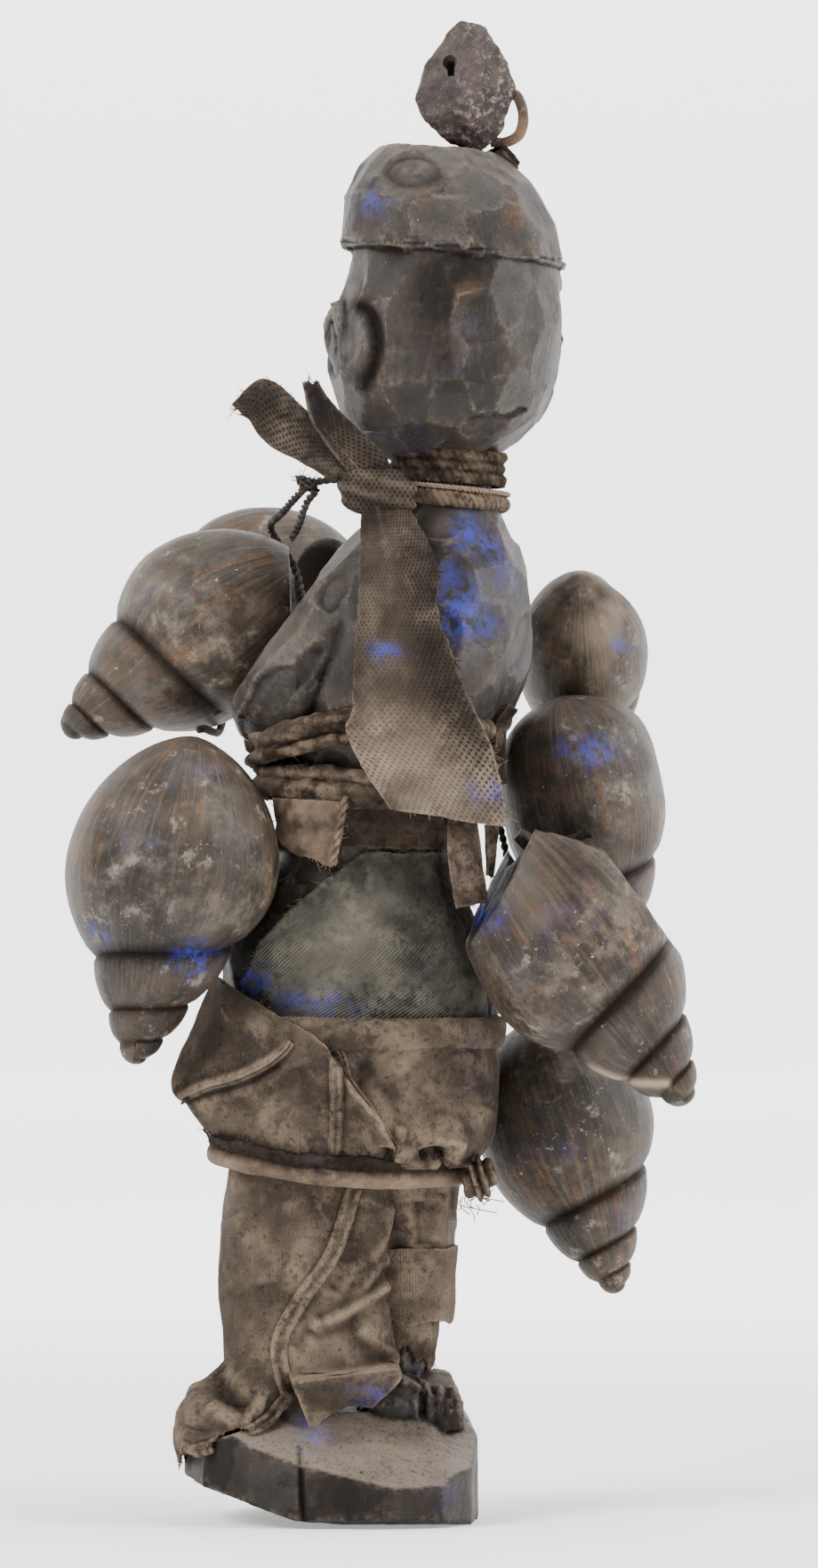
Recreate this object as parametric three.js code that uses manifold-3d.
// Power figure: carved standing figure on its own block, hung with snail shells, cloth and a padlock.
// Millimetres, +Z up, the figure's photographed side faces -Y.
import * as THREE from 'three';
import { mergeVertices } from 'three/addons/utils/BufferGeometryUtils.js';
import { ConvexGeometry } from 'three/addons/geometries/ConvexGeometry.js';
import Module from 'manifold-3d';

const wasm = await Module();
wasm.setup();

// Driving dimensions
const CLEARANCE = 0.5;
const CLOTH = 1.6;
const BODY_SIDES = 14;
const FACE_TURN = 0.35;
const HEAD_CENTRE = [23, 0];
const CAP_TILT = 0.09;
const CAP_HOLLOW_RADIUS = 12;
const CAP_HOLLOW_DEPTH = 24;
const NECK_CENTRE = [23.5, 0];
const BASE_HEIGHT = 44;
const BINDING_RADIUS = 3.1;
const WAIST_SPLIT = 297.6;
const CORD_RADIUS = 1.5;
const SHACKLE_RADIUS = 2.1;

// Carved sections: height, centre across, centre deep, half width, half depth, squareness
const HIPS = [
  [139, -11, 2, 36, 29, 2.2],
  [152, -11, 2, 47, 39, 2.4],
  [176, -11, 2, 48.5, 43, 2.3],
  [197, -12, 2, 46, 41, 2.3],
  [210, -14.5, 2, 47, 40.5, 2.2],
  [232, -15, 1, 44.5, 38, 2.1],
  [252, -12.5, 0, 38, 34, 2],
  [268, -9.5, 0, 33, 31, 2],
  [292, -7, 0, 34, 31, 2],
];
const TORSO = [
  [305, -3.5, 0, 40, 35, 2.1],
  [320, 1.5, 0, 43.5, 41, 2.1],
  [338, 8, 0, 45, 44, 2.1],
  [357, 12, 0, 44, 43, 2.1],
  [374, 14, 0, 39, 37, 2.1],
  [388, 17.5, 0, 31, 29, 2],
  [396, 20, 0, 24, 22, 2],
  [402, 22, 0, 17.5, 17, 2],
];
const NECK = [
  [396, 23, 0, 17, 17, 2],
  [424, 23.5, 0, 17, 17, 2],
];
const NEAR_ARM = [
  [305, -41, -5, 12, 15, 2.2],
  [311, -42, -8, 17, 20, 2.3],
  [322, -40, -11, 20, 23, 2.3],
  [342, -27, -14, 21, 22, 2.2],
  [364, -13, -13, 19, 19, 2.1],
  [384, -1, -9, 14, 14, 2],
  [394, 5, -6, 9, 10, 2],
];
const FAR_ARM = [
  [307, 33, 8, 10, 14, 2.2],
  [315, 35, 9, 14, 18, 2.3],
  [335, 38, 7, 17, 20, 2.2],
  [362, 38, 4, 17, 19, 2.2],
  [382, 33, 2, 15, 16, 2],
  [392, 29, 0, 10, 11, 2],
];
const HEAD = [
  [414, 22, 2, 15, 16, 2],
  [421, 20, 4, 25, 28, 2],
  [429, 20.5, 3, 36, 39, 2.2],
  [441, 21, 1, 42.3, 45, 2.3],
  [456, 22.2, 0, 45.3, 48, 2.3],
  [474, 24, 0, 45, 48.5, 2.3],
  [490, 25, 0, 41.5, 46.5, 2.2],
  [502, 25.3, 0, 38.5, 44, 2.2],
];
const CAP = [
  [496, 25.2, 0, 43.2, 47.5, 2.3],
  [499, 25.2, 0, 43.8, 48, 2.3],
  [508, 24.4, 0, 42.6, 47, 2.2],
  [515.5, 23.6, 0, 41.2, 45, 2.2],
  [517, 23.6, 0, 39.6, 43.6, 2.2],
  [526, 22.8, 0, 35.4, 40, 2.1],
  [533, 21.5, 0, 28.5, 33, 2],
  [537.5, 20.5, 0, 22, 26, 2],
];
const LEG_LEFT = [
  [38, -37, -6, 15, 26, 2.4],
  [52, -36, -4, 13, 22, 2.2],
  [64, -34, 4, 13, 14, 2],
  [90, -33, 5, 18, 19, 2],
  [115, -32, 5, 21, 23, 2],
  [142, -28, 4, 22, 26, 2],
];
const LEG_RIGHT = [
  [50, 6, 4, 10.5, 14, 2],
  [62, 5, 6, 10.5, 12, 2],
  [88, 7, 7, 14, 16, 2],
  [112, 9, 6, 17, 20, 2],
  [142, 8, 4, 17, 24, 2],
];

// Geometry helpers
function solidOf(geometry) {
  const bare = geometry.clone();
  bare.deleteAttribute('normal');
  bare.deleteAttribute('uv');
  const merged = mergeVertices(bare, 1e-4);
  return new wasm.Manifold(new wasm.Mesh({
    numProp: 3,
    vertProperties: new Float32Array(merged.attributes.position.array),
    triVerts: new Uint32Array(merged.index.array),
  }));
}

function geometryOf(solid) {
  const mesh = solid.getMesh();
  const geometry = new THREE.BufferGeometry();
  const step = mesh.numProp;
  const count = mesh.vertProperties.length / step;
  const positions = new Float32Array(count * 3);
  for (let i = 0; i < count; i += 1) {
    for (let k = 0; k < 3; k += 1) positions[i * 3 + k] = mesh.vertProperties[i * step + k];
  }
  geometry.setAttribute('position', new THREE.BufferAttribute(positions, 3));
  geometry.setIndex(new THREE.BufferAttribute(new Uint32Array(mesh.triVerts), 1));
  return geometry;
}

function geometryFrom(points, triangles) {
  const geometry = new THREE.BufferGeometry();
  geometry.setAttribute('position', new THREE.Float32BufferAttribute(points.flat(), 3));
  geometry.setIndex(triangles.flat());
  return geometry;
}

function joinAll(solids) {
  return solids.reduce((sum, next) => sum.add(next));
}

// Closed skin over equal rings, ringed anticlockwise seen from the last ring's side
function skinRings(rings) {
  const sides = rings[0].length;
  const points = rings.flat();
  const triangles = [];
  for (let r = 0; r + 1 < rings.length; r += 1) {
    for (let s = 0; s < sides; s += 1) {
      const a = r * sides + s;
      const b = r * sides + ((s + 1) % sides);
      triangles.push([a, b, b + sides], [a, b + sides, a + sides]);
    }
  }
  const middle = (ring) => [0, 1, 2].map((k) => ring.reduce((sum, p) => sum + p[k], 0) / sides);
  const low = points.length;
  points.push(middle(rings[0]), middle(rings[rings.length - 1]));
  const lastStart = (rings.length - 1) * sides;
  for (let s = 0; s < sides; s += 1) {
    const next = (s + 1) % sides;
    triangles.push([low, next, s], [low + 1, lastStart + s, lastStart + next]);
  }
  return geometryFrom(points, triangles);
}

function smoothBetween(table, place) {
  const last = table.length - 1;
  const base = Math.min(Math.floor(place), last - 1);
  const t = place - base;
  const row = (i) => table[Math.min(Math.max(i, 0), last)];
  return table[0].map((unused, k) => {
    const [p0, p1, p2, p3] = [row(base - 1)[k], row(base)[k], row(base + 1)[k], row(base + 2)[k]];
    const linear = 0.5 * (p2 - p0);
    const square = p0 - 2.5 * p1 + 2 * p2 - 0.5 * p3;
    const cube = 1.5 * (p1 - p2) + 0.5 * (p3 - p0);
    return p1 + t * (linear + t * (square + t * cube));
  });
}

function ringAt(section, sides, grow) {
  const [z, cx, cy, rx, ry, power] = section;
  const ring = [];
  for (let s = 0; s < sides; s += 1) {
    const a = (2 * Math.PI * (s + 0.5)) / sides;
    const bend = (v) => Math.sign(v) * Math.abs(v) ** (2 / power);
    ring.push([cx + (rx + grow) * bend(Math.cos(a)), cy + (ry + grow) * bend(Math.sin(a)), z]);
  }
  return ring;
}

function loft(table, { sides = BODY_SIDES, steps = 1, grow = 0, low = grow, high = grow } = {}) {
  const count = (table.length - 1) * steps;
  const rings = [];
  for (let i = 0; i <= count; i += 1) {
    rings.push(ringAt(smoothBetween(table, i / steps), sides, grow));
  }
  rings[0].forEach((p) => { p[2] -= low; });
  rings[count].forEach((p) => { p[2] += high; });
  return skinRings(rings);
}

// Closed tube whose route ends where it starts; widths gives half sizes out and up at each step
function hoop(route, count, sides, widths) {
  const centre = route.reduce((sum, p) => sum.add(new THREE.Vector3(...p)), new THREE.Vector3());
  centre.multiplyScalar(1 / route.length);
  const curve = new THREE.CatmullRomCurve3(route.map((p) => new THREE.Vector3(...p)), true);
  const points = [];
  const triangles = [];
  for (let i = 0; i < count; i += 1) {
    const t = i / count;
    const at = curve.getPoint(t);
    const along = curve.getTangent(t);
    const out = new THREE.Vector3(along.y, -along.x, 0).normalize();
    if (out.dot(at.clone().sub(centre)) < 0) out.negate();
    const up = new THREE.Vector3().crossVectors(out, along).normalize();
    if (up.z < 0) up.negate();
    const [wide, tall] = widths(t);
    for (let s = 0; s < sides; s += 1) {
      const a = (2 * Math.PI * s) / sides;
      const p = at.clone().addScaledVector(out, wide * Math.cos(a));
      points.push(p.addScaledVector(up, tall * Math.sin(a)).toArray());
    }
  }
  for (let i = 0; i < count; i += 1) {
    const j = (i + 1) % count;
    for (let s = 0; s < sides; s += 1) {
      const n = (s + 1) % sides;
      triangles.push([i * sides + s, j * sides + s, j * sides + n]);
      triangles.push([i * sides + s, j * sides + n, i * sides + n]);
    }
  }
  return outward(geometryFrom(points, triangles));
}

// Turns a closed skin so that its faces look outward
function outward(geometry) {
  const at = geometry.attributes.position;
  const index = geometry.index.array;
  const corner = [new THREE.Vector3(), new THREE.Vector3(), new THREE.Vector3()];
  let volume = 0;
  for (let i = 0; i < index.length; i += 3) {
    corner.forEach((v, k) => v.fromBufferAttribute(at, index[i + k]));
    volume += corner[0].dot(corner[1].clone().cross(corner[2]));
  }
  if (volume < 0) {
    for (let i = 0; i < index.length; i += 3) [index[i], index[i + 1]] = [index[i + 1], index[i]];
  }
  return geometry;
}

function cordAlong(route, radius, steps, sides = 7) {
  const curve = new THREE.CatmullRomCurve3(route.map((p) => new THREE.Vector3(...p)));
  const round = new THREE.Shape();
  for (let s = 0; s < sides; s += 1) {
    const a = (2 * Math.PI * s) / sides;
    const spot = [radius * Math.cos(a), radius * Math.sin(a)];
    if (s === 0) round.moveTo(...spot);
    else round.lineTo(...spot);
  }
  round.closePath();
  return new THREE.ExtrudeGeometry(round, { steps, extrudePath: curve, bevelEnabled: false });
}

// Thick cloth from a grid of rows of points
function thickSheet(rows, thickness) {
  const high = rows.length;
  const wide = rows[0].length;
  const within = (v, count) => Math.min(Math.max(v, 0), count - 1);
  const at = (r, c) => new THREE.Vector3(...rows[within(r, high)][within(c, wide)]);
  const front = [];
  const back = [];
  for (let r = 0; r < high; r += 1) {
    for (let c = 0; c < wide; c += 1) {
      const across = at(r, c + 1).sub(at(r, c - 1));
      const down = at(r + 1, c).sub(at(r - 1, c));
      const normal = across.cross(down).normalize().multiplyScalar(thickness / 2);
      front.push(at(r, c).add(normal).toArray());
      back.push(at(r, c).sub(normal).toArray());
    }
  }
  const shift = front.length;
  const triangles = [];
  for (let r = 0; r + 1 < high; r += 1) {
    for (let c = 0; c + 1 < wide; c += 1) {
      const a = r * wide + c;
      triangles.push([a, a + 1, a + wide + 1], [a, a + wide + 1, a + wide]);
      triangles.push([shift + a, shift + a + wide + 1, shift + a + 1]);
      triangles.push([shift + a, shift + a + wide, shift + a + wide + 1]);
    }
  }
  const edge = [];
  for (let c = 0; c + 1 < wide; c += 1) edge.push(c);
  for (let r = 0; r + 1 < high; r += 1) edge.push(r * wide + wide - 1);
  for (let c = wide - 1; c > 0; c -= 1) edge.push((high - 1) * wide + c);
  for (let r = high - 1; r > 0; r -= 1) edge.push(r * wide);
  edge.forEach((a, i) => {
    const b = edge[(i + 1) % edge.length];
    triangles.push([a, shift + a, shift + b], [a, shift + b, b]);
  });
  return outward(geometryFrom([...front, ...back], triangles));
}

// Grid between two long edges, each given top to bottom; sag pushes the middle toward the viewer
function sheetBetween(leftEdge, rightEdge, columns, rowsWanted, sag) {
  const left = new THREE.CatmullRomCurve3(leftEdge.map((p) => new THREE.Vector3(...p)));
  const right = new THREE.CatmullRomCurve3(rightEdge.map((p) => new THREE.Vector3(...p)));
  const rows = [];
  for (let r = 0; r < rowsWanted; r += 1) {
    const v = r / (rowsWanted - 1);
    const a = left.getPoint(v);
    const b = right.getPoint(v);
    const row = [];
    for (let c = 0; c < columns; c += 1) {
      const u = c / (columns - 1);
      const p = a.clone().lerp(b, u);
      p.y -= sag(u, v);
      row.push(p.toArray());
    }
    rows.push(row);
  }
  return rows;
}

// Half space as a large block whose inner face passes through a point
function halfSpace(point, normal) {
  const size = 400;
  const block = new THREE.BoxGeometry(size, size, size);
  const way = new THREE.Vector3(...normal).normalize();
  const turn = new THREE.Quaternion().setFromUnitVectors(new THREE.Vector3(0, 0, 1), way);
  block.translate(0, 0, size / 2).applyQuaternion(turn).translate(...point);
  return solidOf(block);
}

// Snail shell: right-handed spiral, apex first, mouth cut as a pocket
const GROWTH = 1.72;
const TIP_OFFSET = 0.067;

function smoothStep(low, high, v) {
  const t = Math.min(Math.max((v - low) / (high - low), 0), 1);
  return t * t * (3 - 2 * t);
}

function shellRadius(turn, along, form) {
  const first = form.suture * GROWTH ** -turn;
  const second = first * GROWTH;
  const end = 1 + TIP_OFFSET;
  const u = Math.min(Math.max((along - first) / (second - first), 0), 1);
  const spire = form.cone * along * (1 + 0.13 * Math.sin(Math.PI * u ** 0.75));
  if (turn >= 1) return spire;
  const past = Math.max((along - second) / (end - second), 0);
  const inner = along <= second ? spire : form.cone * second * Math.max(1 - past ** 2, 0) ** 0.6;
  const full = form.girth * (1.03 - 0.06 * turn);
  const widest = form.suture * GROWTH ** -0.5 + form.belly - 0.06 * turn;
  const start = form.cone * first;
  let outer;
  if (along < widest) {
    const rise = ((along - first) / (widest - first)) ** 0.85;
    outer = start + (full - start) * Math.sin((Math.PI / 2) * rise);
  } else {
    outer = full * Math.max(1 - ((along - widest) / (end - widest)) ** form.blunt, 0) ** 0.62;
  }
  const blend = smoothStep(0.7, 1, turn);
  return outer * (1 - blend) + inner * blend;
}

function snailShell({ length, apex, base, lipTurn, cone, girth, suture = 0.54, belly = 0.28, blunt = 2,
  turns = 3.5, perTurn = 12, spireRows = 2, baseRows = 3 }) {
  const form = { cone, girth, suture, belly, blunt };
  const from = new THREE.Vector3(...apex);
  const axis = new THREE.Vector3(...base).sub(from).normalize();
  const viewer = new THREE.Vector3(0, -1, 0).addScaledVector(axis, axis.y).normalize();
  const side = new THREE.Vector3().crossVectors(viewer, axis);
  const place = (turn, along, radius) => {
    const a = 2 * Math.PI * (lipTurn - turn);
    return from.clone()
      .addScaledVector(axis, (along - TIP_OFFSET) * length)
      .addScaledVector(side, radius * length * Math.cos(a))
      .addScaledVector(viewer, radius * length * Math.sin(a))
      .toArray();
  };
  const points = [];
  const triangles = [];
  const add = (p) => points.push(p) - 1;
  const rows = spireRows + baseRows;
  const last = Math.round(turns * perTurn);
  const grid = [];
  const end = 1 + TIP_OFFSET;
  for (let i = 0; i <= last; i += 1) {
    const turn = i / perTurn;
    const first = suture * GROWTH ** -turn;
    const column = [];
    for (let j = 0; j < spireRows; j += 1) {
      const along = first * (1 + ((GROWTH - 1) * j) / spireRows);
      column.push(add(place(turn, along, shellRadius(turn, along, form))));
    }
    if (i < perTurn) {
      for (let j = spireRows; j < rows; j += 1) {
        const t = (j - spireRows) / baseRows;
        const along = first * GROWTH + (end - first * GROWTH) * Math.sin((t * Math.PI) / 2);
        column.push(add(place(turn, along, shellRadius(turn, along, form))));
      }
    } else {
      column.push(grid[i - perTurn][0]);
      if (i === perTurn) {
        for (let j = spireRows + 1; j < rows; j += 1) {
          const t = (j - spireRows) / baseRows;
          const along = suture + (end - suture) * Math.sin((t * Math.PI) / 2);
          column.push(add(place(turn, along, shellRadius(0.9999, along, form))));
        }
      }
    }
    grid.push(column);
  }
  const tail = add(place(0, end, 0));
  const tip = add(place(0, TIP_OFFSET, 0));
  for (let i = 0; i < last; i += 1) {
    const here = grid[i];
    const next = grid[i + 1];
    const high = i < perTurn ? rows - 1 : spireRows;
    for (let j = 0; j < high; j += 1) {
      triangles.push([here[j], here[j + 1], next[j + 1]], [here[j], next[j + 1], next[j]]);
    }
    if (i < perTurn) triangles.push([here[rows - 1], tail, next[rows - 1]]);
  }
  const lip = grid[0].concat(tail);
  const wall = [grid[0][0]].concat(grid[perTurn].slice(spireRows + 1), tail);
  let p = 0;
  let q = 0;
  while (p < lip.length - 1 || q < wall.length - 1) {
    if (q === wall.length - 1 || (p < lip.length - 1 && p / lip.length <= q / wall.length)) {
      triangles.push([lip[p + 1], lip[p], wall[q]]);
      p += 1;
    } else {
      triangles.push([wall[q], wall[q + 1], lip[p]]);
      q += 1;
    }
  }
  for (let i = last - perTurn; i < last; i += 1) triangles.push([tip, grid[i][0], grid[i + 1][0]]);
  for (let j = 0; j < spireRows; j += 1) triangles.push([tip, grid[last][j], grid[last][j + 1]]);
  const kept = triangles.filter(([a, b, c]) => a !== b && b !== c && a !== c);
  const whole = outward(geometryFrom(points, kept));
  const rings = [];
  for (let i = 0; i < 4; i += 1) {
    const turn = -0.03 + 0.1 * i;
    const size = 1 - 0.2 * i;
    const first = suture * GROWTH ** -Math.max(turn, 0);
    const middle = (first + end) / 2 + 0.01 - 0.02 * i;
    const ring = [];
    for (let s = 0; s < 8; s += 1) {
      const a = (2 * Math.PI * s) / 8;
      const along = middle + (end - first) * 0.37 * size * Math.cos(a);
      const outerWall = shellRadius(Math.max(turn, 0), along, form);
      ring.push(place(turn, along, outerWall * (0.64 + 0.29 * size * Math.sin(a))));
    }
    rings.push(ring);
  }
  return { whole, pocket: outward(skinRings(rings)) };
}

// Carved wood under the cloth, enlarged by grow where cloth must clear it
function carvedTrunk(grow = 0) {
  return joinAll([
    solidOf(loft([...HIPS, ...TORSO], { grow })),
    solidOf(loft(NECK, { sides: 12, grow })),
    solidOf(loft(NEAR_ARM, { sides: 9, grow })),
    solidOf(loft(FAR_ARM, { sides: 8, grow })),
    solidOf(loft(LEG_LEFT, { sides: 8, grow })),
    solidOf(loft(LEG_RIGHT, { sides: 8, grow })),
    forearm([-40, 0, 318], [-2, 46, 326], 13, grow),
    forearm([38, 10, 322], [14, 46, 316], 12, grow),
  ]);
}

function ellipsoid(centre, half, across, high) {
  const ball = new THREE.SphereGeometry(1, across, high);
  ball.scale(...half).translate(...centre);
  return solidOf(ball);
}

function forearm(from, to, radius, grow) {
  const start = new THREE.Vector3(...from);
  const end = new THREE.Vector3(...to);
  const wrist = radius * 0.7;
  const limb = new THREE.CylinderGeometry(wrist + grow, radius + grow, start.distanceTo(end), 9);
  const way = end.clone().sub(start).normalize();
  const turn = new THREE.Quaternion().setFromUnitVectors(new THREE.Vector3(0, 1, 0), way);
  const middle = start.clone().add(end).multiplyScalar(0.5);
  limb.applyQuaternion(turn).translate(...middle.toArray());
  return solidOf(limb);
}

// Head frame: across the face, forward along the gaze, and up
function headPoint(across, forward, up) {
  const cos = Math.cos(FACE_TURN);
  const sin = Math.sin(FACE_TURN);
  const [x, y] = HEAD_CENTRE;
  return [x + across * cos - forward * sin, y + across * sin + forward * cos, up];
}

function headLump(across, forward, up, half) {
  const ball = new THREE.SphereGeometry(1, 8, 5);
  ball.scale(...half).rotateZ(FACE_TURN).translate(...headPoint(across, forward, up));
  return solidOf(ball);
}

function headWedge(corners) {
  return solidOf(new ConvexGeometry(corners.map((c) => new THREE.Vector3(...headPoint(...c)))));
}

function carvedHead() {
  const skull = solidOf(loft(HEAD, { sides: 16 }));
  const nose = headWedge([
    [-2.5, 44, 478], [2.5, 44, 478], [-2.5, 50, 470], [2.5, 50, 470], [-5, 57, 457], [5, 57, 457],
    [-8, 44, 454], [8, 44, 454], [-6, 51, 451], [6, 51, 451], [0, 44, 450],
  ]);
  const features = [nose];
  [-1, 1].forEach((hand) => {
    features.push(headWedge([
      [hand * 3, 44, 476], [hand * 3, 50, 479], [hand * 3, 44, 484], [hand * 27, 32, 476],
      [hand * 26, 40, 480], [hand * 27, 32, 484], [hand * 15, 48, 482],
    ]));
    features.push(headLump(hand * 15, 44, 469, [8.5, 4.5, 4.6]));
    features.push(headLump(hand < 0 ? -43.5 : 41.5, hand < 0 ? 0 : 6, 460, [5, 8, 13.5]));
  });
  features.push(headLump(0, 44.5, 442.5, [11.5, 5, 2.6]));
  features.push(headLump(0, 43.5, 437.5, [10, 5, 2.9]));
  features.push(headLump(0, 37, 427, [14, 9, 7.5]));
  let head = joinAll([skull, ...features]);
  [-1, 1].forEach((hand) => {
    head = head.subtract(headLump(hand * 43, hand < 0 ? -11 : -5, 462, [6, 4.2, 15]));
    head = head.subtract(headLump(hand < 0 ? -47.5 : 45.5, hand < 0 ? 2 : 8, 460, [3.5, 4, 8.5]));
  });
  return head;
}

function carvedCap() {
  const lean = (geometry) => {
    const at = geometry.attributes.position;
    for (let i = 0; i < at.count; i += 1) {
      at.setZ(i, at.getZ(i) - CAP_TILT * (at.getX(i) - HEAD_CENTRE[0]));
    }
    return geometry;
  };
  const cap = solidOf(lean(loft(CAP, { sides: 18 })));
  const narrow = CAP_HOLLOW_RADIUS * 0.8;
  const hollow = new THREE.CylinderGeometry(CAP_HOLLOW_RADIUS, narrow, CAP_HOLLOW_DEPTH, 12);
  hollow.rotateX(Math.PI / 2).translate(30, 0, 541 - CAP_HOLLOW_DEPTH / 2);
  return { cap, hollow: solidOf(hollow) };
}

function carvedBase() {
  const outline = [
    [-80, -12], [-72, -34], [-54, -45], [-34, -48.5], [2, -50], [22, -44], [32.5, -27],
    [35.5, 0], [32, 27], [16, 44], [-20, 49], [-55, 44], [-74, 28], [-80, 8],
  ];
  const shape = new THREE.Shape(outline.map((p) => new THREE.Vector2(...p)));
  let block = solidOf(new THREE.ExtrudeGeometry(shape, { depth: BASE_HEIGHT, bevelEnabled: false }));
  block = block.subtract(halfSpace([13.7, -14, 42.4], [0.209, -0.806, 1]));
  block = block.subtract(halfSpace([13.7, -14, 42.4], [0.706, -0.561, 1]));
  block = block.subtract(halfSpace([30, 0, 40.5], [1.5, 0, 1]));
  block = block.subtract(halfSpace([-44, 0, 42], [-0.34, 0, 1]));
  block = block.subtract(halfSpace([-18, 0, 0], [-0.16, 0, -1]));
  block = block.subtract(halfSpace([-33, 0, 2.3], [-0.34, 0, -1]));
  block = block.subtract(halfSpace([0, -28, 0], [0, -0.17, -1]));
  return block.subtract(halfSpace([0, 44, 30], [0, 0.9, 1]));
}

function foot(middle, heel) {
  const half = 14;
  let block = solidOf(new ConvexGeometry([
    [-half, -18, 36], [half, -18, 36], [-half, -18, 50], [half, -17, 48], [-12, 2, 60], [9, 4, 58],
    [-10, heel, 56], [8, heel, 55], [-11, heel + 3, 36], [10, heel + 3, 36],
  ].map(([x, y, z]) => new THREE.Vector3(x + middle, y, z))));
  for (let toe = 0; toe < 4; toe += 1) {
    const gap = new THREE.BoxGeometry(1.8, 14, 16);
    gap.rotateX(-0.35).translate(middle - 8.4 + toe * 5.6, -17.5, 47.5);
    block = block.subtract(solidOf(gap));
  }
  return block;
}

function carvedFigure() {
  const { cap, hollow } = carvedCap();
  const body = joinAll([
    carvedTrunk(), carvedHead(), cap, carvedBase(), foot(16, 22), foot(-37, 24),
  ]);
  return body.subtract(hollow);
}

// Trousers of knitted cotton: seat, two legs, rolled waistband and the turned-down corner
const SEAT = [
  [133, -18, 0, 40, 34, 2.2],
  [141, -15, 0, 49, 42, 2.3],
  [152, -12.5, 0, 53, 46, 2.3],
  [168, -11.3, 0, 53.8, 47.5, 2.3],
  [184, -11, 0, 53, 46.5, 2.3],
  [193, -11, 0, 51.5, 45, 2.2],
];
const TROUSER_LEFT = [
  [57, -30, -3, 34, 31, 2.2],
  [72, -31.3, -3, 33.2, 30, 2.3],
  [92, -32, -2, 34.6, 31, 2.2],
  [116, -30.6, -1, 34.6, 32, 2.2],
  [140, -28, 0, 34, 34, 2.1],
];
const TROUSER_RIGHT = [
  [70, 6.5, 7, 13.6, 17, 2],
  [80, 7.5, 7, 15.6, 20, 2.1],
  [104, 7, 7, 17.4, 22, 2.1],
  [122, 7.5, 6, 17.8, 24, 2.1],
  [140, 8, 4, 20, 28, 2],
];
const CUFF = [
  [20, -66, -7, 16, 26, 2.2],
  [34, -62, -7, 22, 31, 2.2],
  [47, -57, -6, 24, 32, 2.1],
  [60, -45, -4, 20.5, 30, 2.1],
  [68, -40, -3, 20, 28, 2.1],
];

function trouserLofts(grow, legSides = 12, opening = 0) {
  return [
    solidOf(loft(SEAT, { grow, high: grow + opening })),
    solidOf(loft(TROUSER_LEFT, { grow, sides: legSides, low: opening, high: 0 })),
    solidOf(loft(TROUSER_RIGHT, { grow, sides: legSides, low: opening, high: 0 })),
  ];
}

function waistbandRoll(grow) {
  const route = [];
  for (let i = 0; i < 12; i += 1) {
    const a = (2 * Math.PI * i) / 12;
    route.push([-11 + 52.5 * Math.cos(a), 1.5 + 47 * Math.sin(a), 191.6 - 0.01 * 52 * Math.cos(a)]);
  }
  return solidOf(hoop(route, 16, 6, () => [3.6 + grow, 5.4 + grow]));
}

function cornerRows() {
  const left = [[-68, -6, 214], [-80, -12, 186], [-84, -16, 170], [-76, -20, 161], [-66, -18, 152]];
  const right = [
    [-62, -31, 210], [-43, -44.5, 199], [-26, -49.5, 189], [-15, -49.5, 173], [-13, -45, 147.5],
  ];
  return sheetBetween(left, right, 5, 7, (u) => 9 * Math.sin(Math.PI * u) * (1 - 0.4 * u));
}

function turnedCorner() {
  return solidOf(thickSheet(cornerRows(), 2));
}

function trousers() {
  const hollow = trouserLofts(-CLOTH, 8, 8);
  const cuffOuter = solidOf(loft(CUFF, { sides: 10 }));
  const cuffInner = solidOf(loft(CUFF, { sides: 10, grow: -CLOTH, low: 1, high: 1 }));
  const hem = [[-40, -33, 59], [-35, -40, 50], [-30, -43, 39.5]];
  const hemRight = [[3, -27, 62], [4, -34, 56], [0, -38, 50]];
  const flare = solidOf(thickSheet(sheetBetween(hem, hemRight, 5, 4, () => 0), 2));
  const slack = cuffOuter.subtract(cuffInner).subtract(halfSpace([-82, 0, 24], [0.5, 0, -1]));
  const tube = joinAll([...trouserLofts(0), waistbandRoll(0)]).subtract(joinAll(hollow));
  let cloth = joinAll([tube, slack.subtract(hollow[1]), flare, turnedCorner()]);
  cloth = cloth.subtract(ellipsoid([14, -42, 142.5], [7.5, 12, 3.6], 8, 5));
  cloth = cloth.subtract(joinAll([
    solidOf(loft(LEG_LEFT, { sides: 8, grow: CLEARANCE })),
    solidOf(loft(LEG_RIGHT, { sides: 8, grow: CLEARANCE })),
  ]));
  const wood = joinAll([carvedBase(), foot(16, 22), foot(-37, 24)]);
  const above = wood.translate([0, 0, CLEARANCE]);
  return largest(cloth.subtract(above).subtract(wood.translate([0, 0, CLEARANCE / 2])));
}

// Keeps the main body of a cut piece
function largest(solid) {
  const parts = solid.decompose();
  return parts.reduce((best, next) => (next.volume() > best.volume() ? next : best));
}

function cordBinding() {
  const route = [];
  for (let i = 0; i < 14; i += 1) {
    const a = (2 * Math.PI * i) / 14;
    const x = -20 + 48 * Math.cos(a);
    const front = Math.max(-Math.sin(a), 0);
    route.push([x, 43 * Math.sin(a), 142.5 - 0.085 * (x + 20) - 3.5 * front * front]);
  }
  const ring = solidOf(hoop(route, 18, 6, () => [BINDING_RADIUS + 1, BINDING_RADIUS + 1.4]));
  const corner = solidOf(thickSheet(cornerRows(), 2 + 3 * CLEARANCE)).translate([0, 0, -CLEARANCE]);
  return largest(ring.subtract(joinAll([...trouserLofts(CLEARANCE), corner])));
}

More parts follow.
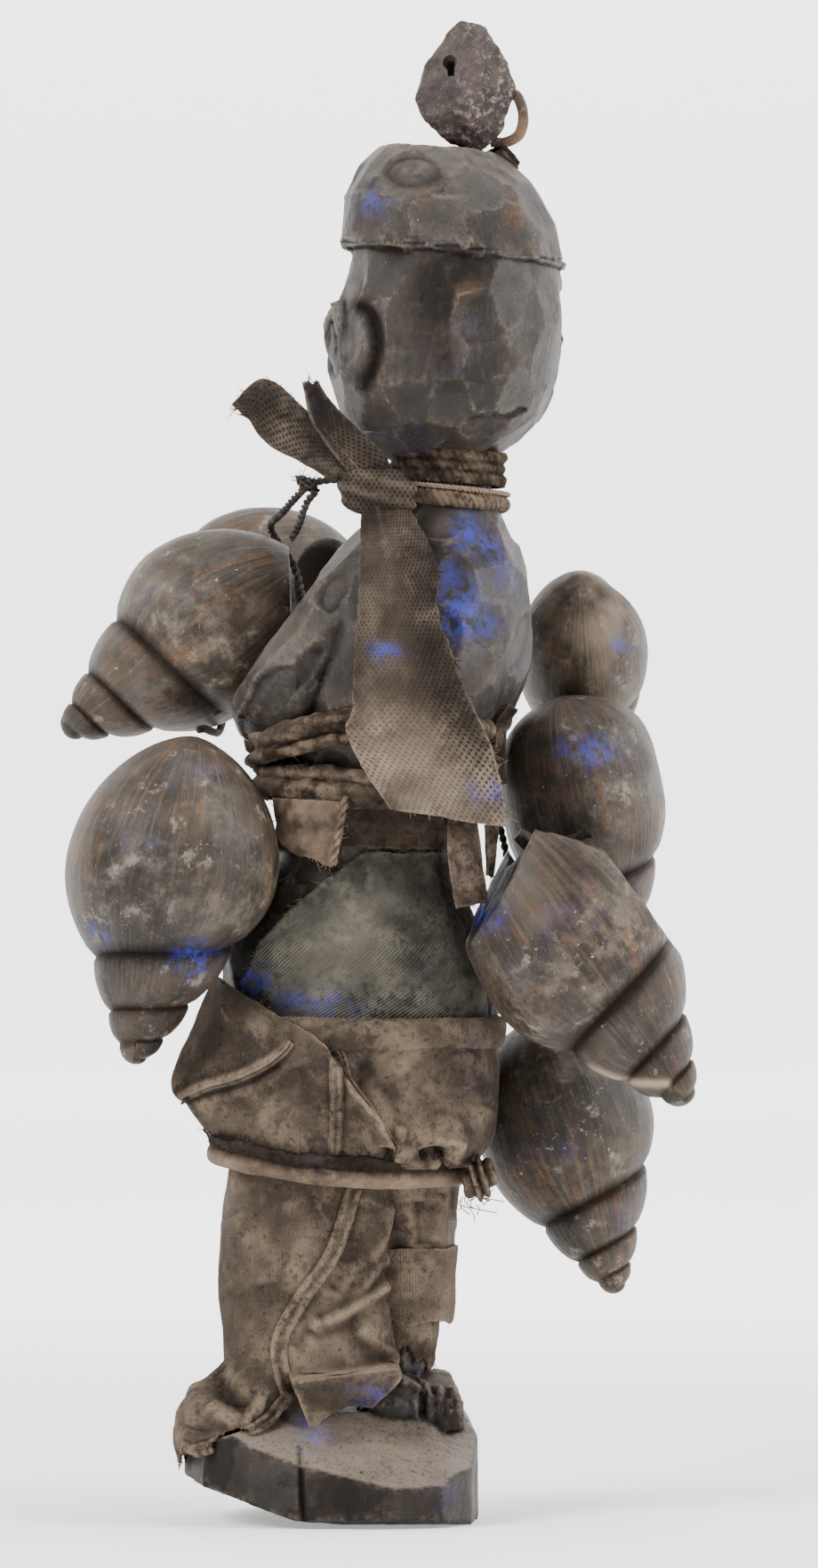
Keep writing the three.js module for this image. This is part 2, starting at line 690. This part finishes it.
// Neck: encrusted band, twisted cord and the knotted strip
function neckHoop(height, radius, wide, tall, count, wave) {
  const route = [];
  for (let i = 0; i < 16; i += 1) {
    const a = (2 * Math.PI * i) / 16;
    const x = NECK_CENTRE[0] + radius * Math.cos(a);
    route.push([x, NECK_CENTRE[1] + radius * Math.sin(a), height - 0.06 * (x - NECK_CENTRE[0])]);
  }
  return solidOf(hoop(route, count, 6, (t) => {
    const swell = 1 + wave * Math.sin(t * 2 * Math.PI * 7);
    return [wide * swell, tall * swell];
  }));
}

function neckBandUpper() {
  const head = solidOf(loft(HEAD, { grow: CLEARANCE })).add(headLump(0, 37, 427, [15, 10, 8.5]));
  return largest(neckHoop(413.5, 20.2, 2.4, 6.6, 14, 0.05).subtract(head));
}

function neckBandLower() {
  return largest(neckHoop(400.5, 21, 3, 4.6, 14, 0.1).subtract(carvedTrunk(CLEARANCE)));
}

function neckTie() {
  const knot = solidOf(loft([
    [395.5, -3, -30, 11, 5, 2.4],
    [400, -4, -30.5, 14, 7.5, 2.6],
    [406, -5, -30, 14.5, 7.5, 2.6],
    [411.5, -6, -28.5, 11, 5, 2.4],
  ], { sides: 10 }));
  const tailLeft = [
    [-10, -31, 399], [-11, -45, 367], [-13, -50.5, 339], [-14, -52, 318], [-16, -51, 309],
    [-9, -49, 294], [1, -47, 279],
  ];
  const tailRight = [
    [7, -31, 399], [19, -46, 373], [19, -49.5, 359], [23, -51, 343], [31, -49, 323],
    [41, -44, 301], [46, -42, 272],
  ];
  const wave = (u, v) => 3 * Math.sin(Math.PI * u) * (1 - v) + 2.5 * Math.sin(2.4 * Math.PI * u) * v;
  const tail = solidOf(thickSheet(sheetBetween(tailLeft, tailRight, 5, 8, wave), CLOTH));
  const endUpper = [[-60.5, -30, 436.5], [-48.5, -33, 446.5], [-33, -34, 435.5], [-8, -30, 408]];
  const endLower = [[-54, -28, 430.5], [-46, -29, 421], [-31, -29, 413], [-12, -28, 402]];
  const firstRows = sheetBetween(endUpper, endLower, 4, 5, (u) => 3 * Math.sin(Math.PI * u));
  const first = solidOf(thickSheet(firstRows, CLOTH));
  const shortUpper = [[-27.5, -31, 445.5], [-21, -33, 436], [-2, -27, 418], [2, -27, 408]];
  const shortLower = [[-32.5, -36, 444.5], [-30, -37, 431], [-19, -35, 415], [-10, -30, 404]];
  const secondRows = sheetBetween(shortUpper, shortLower, 3, 5, () => 0);
  const second = solidOf(thickSheet(secondRows, CLOTH));
  return joinAll([knot, tail, first, second]);
}

// Waist: two folded bands, the strip beneath them and what hangs from them
function waistBand(route, wide, tall) {
  return solidOf(hoop(route, 16, 6, (t) => [wide * (1 + 0.1 * Math.sin(40 * t)), tall]));
}

function waistUpper() {
  const rows = [
    [-51.5, -4, 302], [-43, -26, 305], [-20, -38, 310], [5, -41, 311], [28, -34, 308], [38, -10, 305],
    [38, 12, 305], [27, 32, 306], [0, 40, 305], [-28, 34, 304], [-46, 16, 302],
  ];
  const ring = waistBand(rows, 4.6, 6.2).subtract(carvedTrunk(CLEARANCE));
  return largest(ring.subtract(halfSpace([0, 0, WAIST_SPLIT + CLEARANCE], [0.02, 0, -1])));
}

function waistLower() {
  const rows = [
    [-48, -4, 290.5], [-40, -22, 290], [-20, -33.5, 288], [5, -37, 286], [27, -29, 288], [36, -8, 291],
    [35, 12, 292], [22, 28, 292], [-5, 36, 292], [-30, 29, 291], [-44, 13, 291],
  ];
  const ring = waistBand(rows, 4.4, 6.6).subtract(carvedTrunk(CLEARANCE));
  return largest(ring.subtract(halfSpace([0, 0, WAIST_SPLIT], [-0.02, 0, 1])));
}

function waistUnder() {
  const outer = solidOf(loft(HIPS, { grow: CLEARANCE + 1.8 }));
  const inner = solidOf(loft(HIPS, { grow: CLEARANCE }));
  const ring = outer.subtract(inner).subtract(halfSpace([0, 0, 280.5], [0, 0, 1]));
  return ring.subtract(halfSpace([0, 0, 263.5], [0, 0, -1]));
}

function waistFlap() {
  const left = [[-45, -24, 283], [-42, -27, 268], [-37, -32, 262.5]];
  const right = [[-17, -37.5, 281], [-18, -38.5, 270], [-22, -38.5, 258.5]];
  return solidOf(thickSheet(sheetBetween(left, right, 5, 5, (u) => 2 * Math.sin(Math.PI * u)), CLOTH));
}

function waistTabWide() {
  const left = [[23, -37, 276], [23.5, -40, 259], [26.3, -41, 241]];
  const right = [[34, -33.5, 275], [36, -36.5, 259], [38.2, -38, 243.5]];
  return solidOf(thickSheet(sheetBetween(left, right, 4, 4, (u) => 1.5 * Math.sin(Math.PI * u)), 2.4));
}

function waistTabNarrow() {
  const left = [[38, -28, 272], [38.4, -28, 262], [38.8, -28, 253.5]];
  const right = [[42.5, -24, 272], [42, -24, 262], [40.6, -25, 253]];
  return solidOf(thickSheet(sheetBetween(left, right, 3, 4, () => 0), 1.8));
}

function hipCloth() {
  const outer = solidOf(loft(HIPS, { grow: CLEARANCE + 2 }));
  const inner = solidOf(loft(HIPS, { grow: CLEARANCE }));
  let wrap = outer.subtract(inner).subtract(halfSpace([0, 0, 262.4], [0, 0, 1]));
  wrap = wrap.subtract(halfSpace([0, 0, 199.5], [0, 0, -1]));
  return largest(wrap.subtract(halfSpace([-20.7, 0, 254.5], [-0.976, 0, 1])));
}

// Padlock lying corner-up in the hollow of the cap
const LOCK_CORNERS = [
  [28, -5, 588.7], [38, -13, 586], [21, -6, 580], [14.5, -6, 571], [10.5, -3, 557.2], [29, -16, 556],
  [14, -6, 549], [22.5, -8, 541.5], [36, -5, 536.4], [45, -5, 546], [50.8, -3, 563.2], [46.5, -8, 573],
  [31, 10, 588], [14, 9, 571], [12, 9, 556], [24, 10, 542], [36, 9, 538], [49.5, 9, 563],
];

function lockBody(grow) {
  const middle = new THREE.Vector3(31, -1, 562);
  const corners = LOCK_CORNERS.map((c) => {
    const p = new THREE.Vector3(...c);
    return p.add(p.clone().sub(middle).normalize().multiplyScalar(grow * 1.6));
  });
  return solidOf(new ConvexGeometry(corners));
}

function lockWithKeyway() {
  const keyway = new THREE.CylinderGeometry(2.6, 2, 8, 8);
  keyway.rotateX(Math.PI / 2).rotateZ(-0.4).translate(24, -9, 572);
  return lockBody(0).subtract(solidOf(keyway));
}

const SHACKLE_ROUTE = [
  [46, 0, 561], [50.5, -1, 559.5], [53, -2, 552], [51.5, -2, 544.5], [46, -1, 541.3], [40.5, 0, 541.6],
];

function shackleRod(grow) {
  return solidOf(cordAlong(SHACKLE_ROUTE, SHACKLE_RADIUS + grow, 12, 8));
}

function lockShackle() {
  return largest(shackleRod(0).subtract(lockBody(CLEARANCE)));
}

function lockBinding() {
  const { cap, hollow } = carvedCap();
  const route = [[33, 4, 531], [38.5, 2, 535.6], [44, -2, 537.4], [47.5, -5, 534.5], [50.5, -8, 530.5]];
  const strap = solidOf(cordAlong(route, 1.7, 10, 6));
  const wood = cap.subtract(hollow);
  let clear = strap.subtract(shackleRod(CLEARANCE));
  [[0, 0, 0.5], [0.4, 0, 0.2], [0, -0.4, 0.2]].forEach((shift) => {
    clear = clear.subtract(wood.translate(shift));
  });
  return largest(clear.subtract(lockBody(CLEARANCE)));
}

function sideStrap() {
  const left = [[46.5, -10, 320], [42.5, -14, 314], [41.5, -18, 306], [41.5, -18, 297], [42, -16, 288.5]];
  const right = [[50.5, -8, 318], [46.5, -11, 312], [45.5, -14, 305], [45.5, -14, 297], [46, -12, 289]];
  return solidOf(thickSheet(sheetBetween(left, right, 3, 7, () => 0), 1.6));
}

function ragBundle() {
  const lump = [];
  for (let i = 0; i < 16; i += 1) {
    const up = 1 - (2 * i + 1) / 16;
    const a = i * 2.4;
    const reach = Math.sqrt(1 - up * up) * (1 + 0.12 * Math.sin(i * 3.1));
    const across = 35.4 + 6.6 * reach * Math.cos(a);
    lump.push(new THREE.Vector3(across, -25 + 8 * reach * Math.sin(a), 135 + 9 * up));
  }
  return solidOf(new ConvexGeometry(lump));
}

// Shells: apex and base ends of the axis, and where round the axis the mouth opens, in turns
const SHELLS = {
  shell_upper_left: {
    length: 118, apex: [-129, 27, 309], base: [-32.4, 27, 376.7], lipTurn: 0.43, girth: 0.33, cone: 0.5,
  },
  shell_behind_left: {
    length: 108, apex: [-112, 96, 338], base: [-14, 96, 384], lipTurn: 0.6, girth: 0.33, cone: 0.48,
  },
  shell_lower_left: {
    length: 130, apex: [-99.5, -31.5, 179.8], base: [-75, -31.5, 307.8],
    lipTurn: 0.75, girth: 0.318, cone: 0.485,
  },
  shell_upper_right: {
    length: 104, apex: [79, 101, 291], base: [76, 33, 374.8], lipTurn: 0.5, girth: 0.25, blunt: 2.1, cone: 0.43,
  },
  shell_middle_right: {
    length: 113, apex: [91, 26, 213], base: [67, 24, 327.5],
    lipTurn: 0.82, girth: 0.288, blunt: 4.4, cone: 0.47,
  },
  shell_front_right: {
    length: 142, apex: [117, -32, 164.5], base: [34.4, -32, 280], lipTurn: 0.72, girth: 0.284,
    suture: 0.541, belly: 0.2, cone: 0.487,
  },
  shell_lower_right: {
    length: 114, apex: [91, 40, 86], base: [57, 40, 194], lipTurn: 0.75, girth: 0.31, blunt: 3.2, cone: 0.49,
  },
};

// What is broken or cut away: planes by a point and the way out, and hollows by centre and half sizes
const BREAKS = {
  shell_upper_left: { planes: [[[-39, 27, 365], [1, 0, 0.03]]], hollows: [] },
  shell_behind_left: { planes: [], hollows: [[[-13, 68, 369], [25, 26, 25]]] },
  shell_front_right: {
    planes: [
      [[65, -65, 268], [0.4, -0.18, 1]], [[82, -30, 265], [0.8, 0, 0.6]], [[41.5, -36, 246], [-0.887, -0.1, 0.461]],
    ],
    hollows: [[[62, -30, 275], [17, 24, 32]]],
  },
};

function shellSolid(name) {
  const { whole, pocket } = snailShell(SHELLS[name]);
  const { planes, hollows } = BREAKS[name] ?? { planes: [], hollows: [] };
  let solid = solidOf(whole);
  if (name !== 'shell_behind_left') solid = solid.subtract(solidOf(pocket));
  planes.forEach(([point, way]) => { solid = solid.subtract(halfSpace(point, way)); });
  hollows.forEach(([centre, half]) => { solid = solid.subtract(ellipsoid(centre, half, 12, 8)); });
  if (name === 'shell_upper_left') solid = solid.subtract(carvedTrunk(CLEARANCE));
  return largest(solid);
}

const CORDS = {
  cord_left: [
    [-4, -9, 406.5], [-16, -10, 408], [-30, -3, 407], [-42, 20, 396.5], [-47, 42, 390.5], [-38, 55, 376],
    [-34, 50, 360],
  ],
  cord_lower: [
    [-41.5, 60.5, 350], [-54, 67, 334], [-65, 60, 318], [-67.5, 36, 310], [-69.5, 8, 309.5], [-72, -14, 310.5],
    [-74, -26, 310.2],
  ],
  cord_short: [[-29, -8, 403.5], [-32.5, -2, 399], [-35.5, 9, 391], [-38.5, 16, 386]],
  cord_right: [[37, 19, 406], [42, 33, 392], [47, 43, 374], [49.5, 51, 356], [48.6, 60, 341]],
  cord_hips: [[31, 33, 300], [42, 41, 280], [50, 46, 245], [55, 42, 215], [55.5, 37, 197.5]],
};

function cordSolid(name) {
  return solidOf(cordAlong(CORDS[name], CORD_RADIUS, 2 * CORDS[name].length, 5));
}

// The object
const surfaces = {
  carved_wood: { color: '#4a433d', roughness: 0.72, metalness: 0 },
  shell: { color: '#6d6258', roughness: 0.5, metalness: 0 },
  knit_cloth: { color: '#7a6754', roughness: 0.95, metalness: 0 },
  net_cloth: { color: '#75685c', roughness: 0.95, metalness: 0 },
  twill_cloth: { color: '#5b574f', roughness: 0.95, metalness: 0 },
  rag_cloth: { color: '#5f5044', roughness: 0.95, metalness: 0 },
  cord: { color: '#2d2723', roughness: 0.9, metalness: 0 },
  lock_iron: { color: '#5a4c44', roughness: 0.8, metalness: 0.3 },
  shackle_iron: { color: '#7a4e2e', roughness: 0.7, metalness: 0.5 },
};
const pieces = [
  ['figure', carvedFigure(), 'carved_wood'],
  ['lock_body', lockWithKeyway(), 'lock_iron'],
  ['lock_shackle', lockShackle(), 'shackle_iron'],
  ['lock_binding', lockBinding(), 'rag_cloth'],
  ['neck_band_upper', neckBandUpper(), 'rag_cloth'],
  ['neck_band_lower', neckBandLower(), 'rag_cloth'],
  ['neck_tie', neckTie(), 'net_cloth'],
  ['waist_band_upper', waistUpper(), 'rag_cloth'],
  ['waist_band_lower', waistLower(), 'rag_cloth'],
  ['waist_under_wrap', waistUnder(), 'rag_cloth'],
  ['waist_flap', waistFlap(), 'rag_cloth'],
  ['waist_tab_wide', waistTabWide(), 'rag_cloth'],
  ['waist_tab_narrow', waistTabNarrow(), 'rag_cloth'],
  ['hip_cloth', hipCloth(), 'twill_cloth'],
  ['trousers', trousers(), 'knit_cloth'],
  ['trouser_binding', cordBinding(), 'rag_cloth'],
  ['rag_bundle', ragBundle(), 'rag_cloth'],
  ['side_strap', sideStrap(), 'rag_cloth'],
  ...Object.keys(SHELLS).map((name) => [name, shellSolid(name), 'shell']),
  ...Object.keys(CORDS).map((name) => [name, cordSolid(name), 'cord']),
];

const group = new THREE.Group();
group.name = 'power_figure';
pieces.forEach(([name, solid, surface]) => {
  const material = new THREE.MeshStandardMaterial({ ...surfaces[surface], flatShading: true });
  const mesh = new THREE.Mesh(geometryOf(solid), material);
  mesh.name = name;
  group.add(mesh);
});

export default group;
